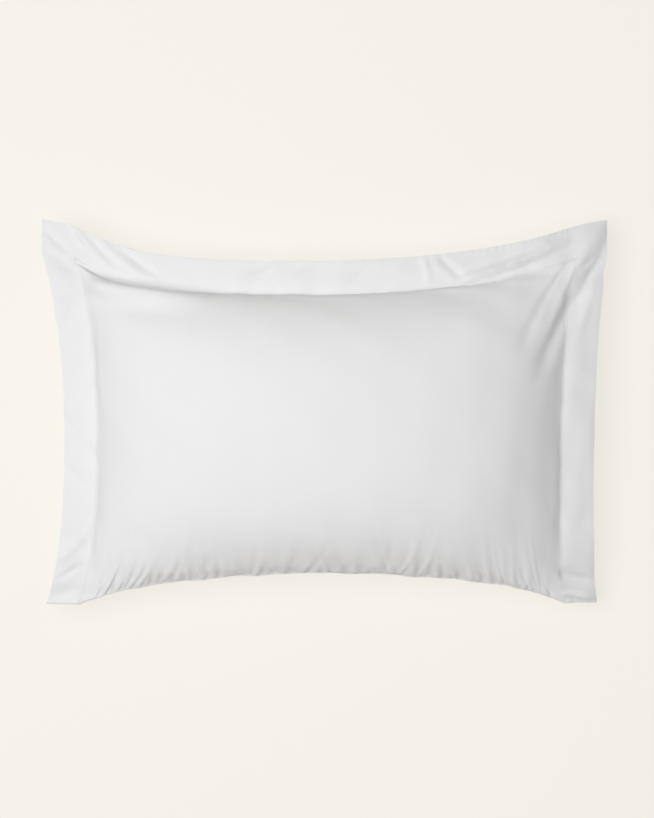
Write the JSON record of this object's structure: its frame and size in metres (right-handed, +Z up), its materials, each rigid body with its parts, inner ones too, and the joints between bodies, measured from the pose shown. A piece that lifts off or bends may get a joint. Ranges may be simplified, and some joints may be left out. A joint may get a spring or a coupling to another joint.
{
  "type": "bed pillow",
  "caption": "Plump filled bed pillow in a plain white flanged cotton case with an envelope opening on the back, lying flat.",
  "frame": {"origin": "under the middle of the outline, on the surface that the pillow lies on", "axes": "+X along the long side, +Y towards the far long side whose flange lies flat, +Z up out of the front panel"},
  "size_m": [0.8142, 0.5518, 0.184],
  "materials": {
    "case_cotton": "matte",
    "ticking_cotton": "matte",
    "thread": "satin",
    "label_tape": "satin",
    "fibre": "matte"
  },
  "bodies": {
    "root": {"case_front_panel": "case_cotton", "case_back_panel": "case_cotton", "case_back_flap": "case_cotton", "case_care_label": "label_tape", "flange_stitching": "thread", "opening_hem_stitching": "thread", "flap_hem_stitching": "thread", "ticking_front": "ticking_cotton", "ticking_back": "ticking_cotton", "ticking_piping": "ticking_cotton", "ticking_closing_stitches": "thread", "ticking_label": "label_tape", "fibre_fill": "fibre"}
  },
  "joints": []
}
